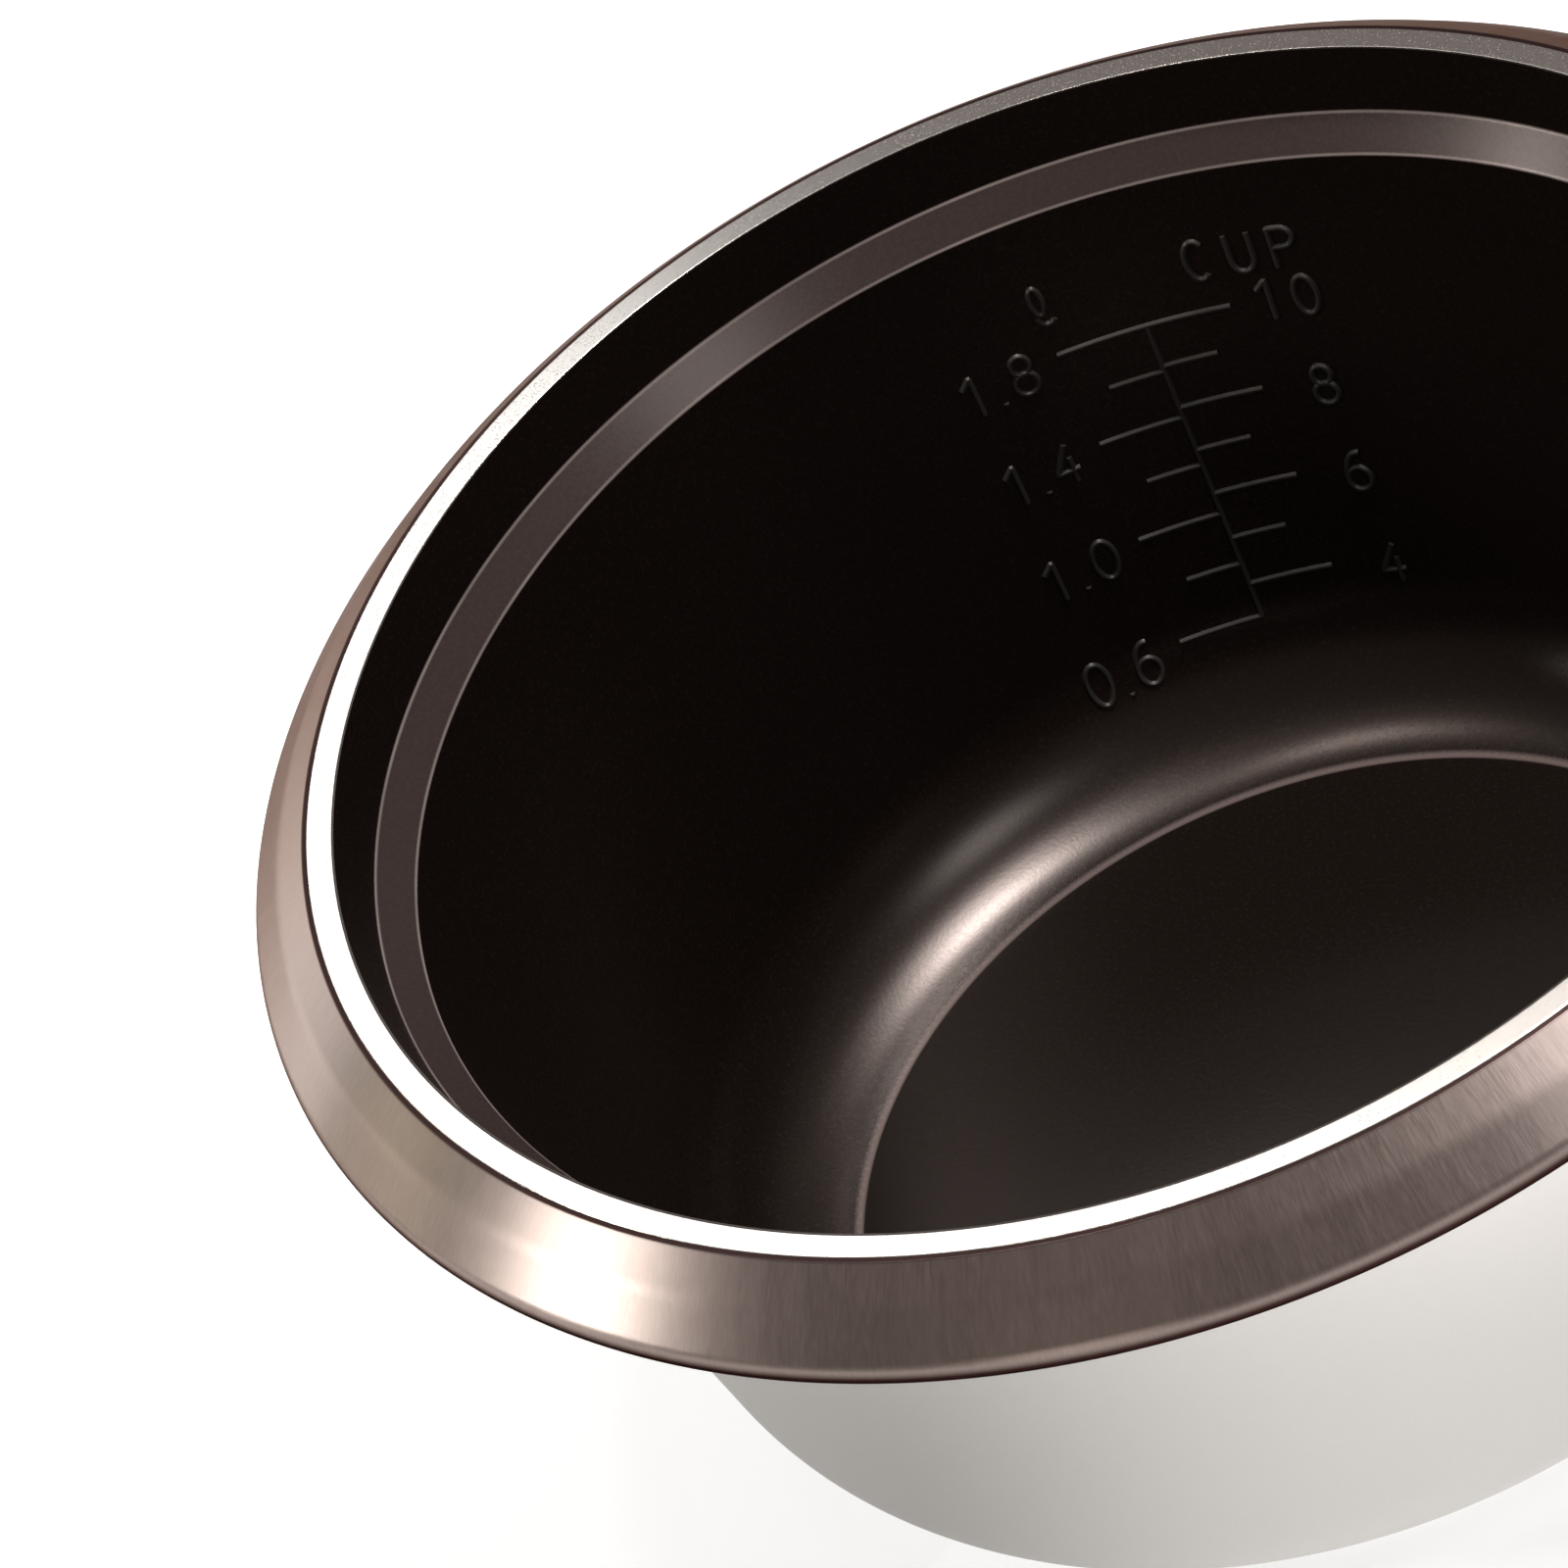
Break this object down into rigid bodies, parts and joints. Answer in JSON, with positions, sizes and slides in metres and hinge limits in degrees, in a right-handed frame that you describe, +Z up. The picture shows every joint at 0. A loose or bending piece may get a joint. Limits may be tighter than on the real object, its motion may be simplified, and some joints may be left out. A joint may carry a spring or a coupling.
{
  "type": "rice cooker inner pot",
  "caption": "Round tapered cooking pot with a stepped lid seat, bare machined rim, flared skirt band and raised level scale inside a dark non-stick lining.",
  "frame": {"origin": "middle of the flat base, on the surface that the pot stands on", "axes": "+Z up through the mouth; the level scale is on the +Y wall, litres on its -X side and cups on its +X side"},
  "size_m": [0.2738, 0.2738, 0.117],
  "materials": {
    "machined_aluminium": "machined and clear coated",
    "satin_steel": "fine satin",
    "nonstick": "satin fluoropolymer coating with fine grain",
    "bronze_band": "brushed and tinted metallic coating",
    "nonstick_relief": "satin fluoropolymer coating over raised marks"
  },
  "bodies": {
    "root": {"core_shell": "machined_aluminium", "steel_skin": "satin_steel", "nonstick_lining": "nonstick", "skirt_band": "bronze_band", "scale_spine": "nonstick_relief", "full_mark": "nonstick_relief", "litre_marks": "nonstick_relief", "cup_marks": "nonstick_relief", "litre_numbers": "nonstick_relief", "cup_numbers": "nonstick_relief", "litre_sign": "nonstick_relief", "cup_word": "nonstick_relief"}
  },
  "joints": []
}
